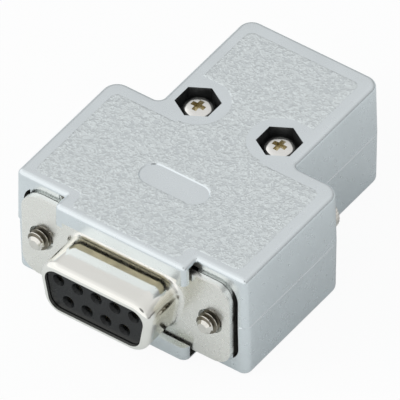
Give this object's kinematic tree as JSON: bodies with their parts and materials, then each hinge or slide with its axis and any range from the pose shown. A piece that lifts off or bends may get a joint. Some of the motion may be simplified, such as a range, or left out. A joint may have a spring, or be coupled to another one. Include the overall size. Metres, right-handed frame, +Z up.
{
  "type": "d-sub connector",
  "caption": "D-shaped socket connector in a two-part die-cast metal hood, with captive jack screws, a cable clamp and a straight cable outlet at the back.",
  "frame": {"origin": "centre of the front face of the connector's flange, on the axis of the mating face", "axes": "-Y towards the mating connector, +Y towards the cable outlet, +X to the right seen from the mating side, +Z up, towards the row with more contacts"},
  "size_m": [0.0342, 0.046, 0.016],
  "materials": {
    "hood_metal": "nickel-plated die-cast zinc, fine leather grain with smooth borders",
    "shell_plate": "bright tin-plated drawn steel",
    "insulator_plastic": "charcoal moulded plastic",
    "contact_gold": "turned and gold-flashed",
    "jack_plate": "nickel-plated turned steel",
    "screw_steel": "bright zinc-plated steel"
  },
  "bodies": {
    "hood": {"front_shell": "shell_plate", "rear_shell": "shell_plate", "front_insulator": "insulator_plastic", "rear_insulator": "insulator_plastic", "upper_hood": "hood_metal", "lower_hood": "hood_metal", "cable_clamp": "screw_steel", "socket_contact_1": "contact_gold", "socket_contact_2": "contact_gold", "socket_contact_3": "contact_gold", "socket_contact_4": "contact_gold", "socket_contact_5": "contact_gold", "socket_contact_6": "contact_gold", "socket_contact_7": "contact_gold", "socket_contact_8": "contact_gold", "socket_contact_9": "contact_gold", "case_screw_left": "screw_steel", "case_nut_left": "screw_steel", "clamp_screw_left": "screw_steel", "case_screw_right": "screw_steel", "case_nut_right": "screw_steel", "clamp_screw_right": "screw_steel"},
    "left_ring": {"retaining_ring_left": "screw_steel"},
    "left_jack_screw": {"jack_screw_left": "jack_plate"},
    "right_ring": {"retaining_ring_right": "screw_steel"},
    "right_jack_screw": {"jack_screw_right": "jack_plate"}
  },
  "joints": [
    {"name": "left_screw_slide", "type": "slide", "parent": "hood", "child": "left_ring", "axis": [0, -1, 0], "range_m": [0, 0.0035]},
    {"name": "left_screw_turn", "type": "hinge", "parent": "left_ring", "child": "left_jack_screw", "pos_m": [-0.01249, 0.0201, 0], "axis": [0, 1, 0], "continuous": true},
    {"name": "right_screw_slide", "type": "slide", "parent": "hood", "child": "right_ring", "axis": [0, -1, 0], "range_m": [0, 0.0035]},
    {"name": "right_screw_turn", "type": "hinge", "parent": "right_ring", "child": "right_jack_screw", "pos_m": [0.01249, 0.0201, 0], "axis": [0, 1, 0], "continuous": true}
  ]
}
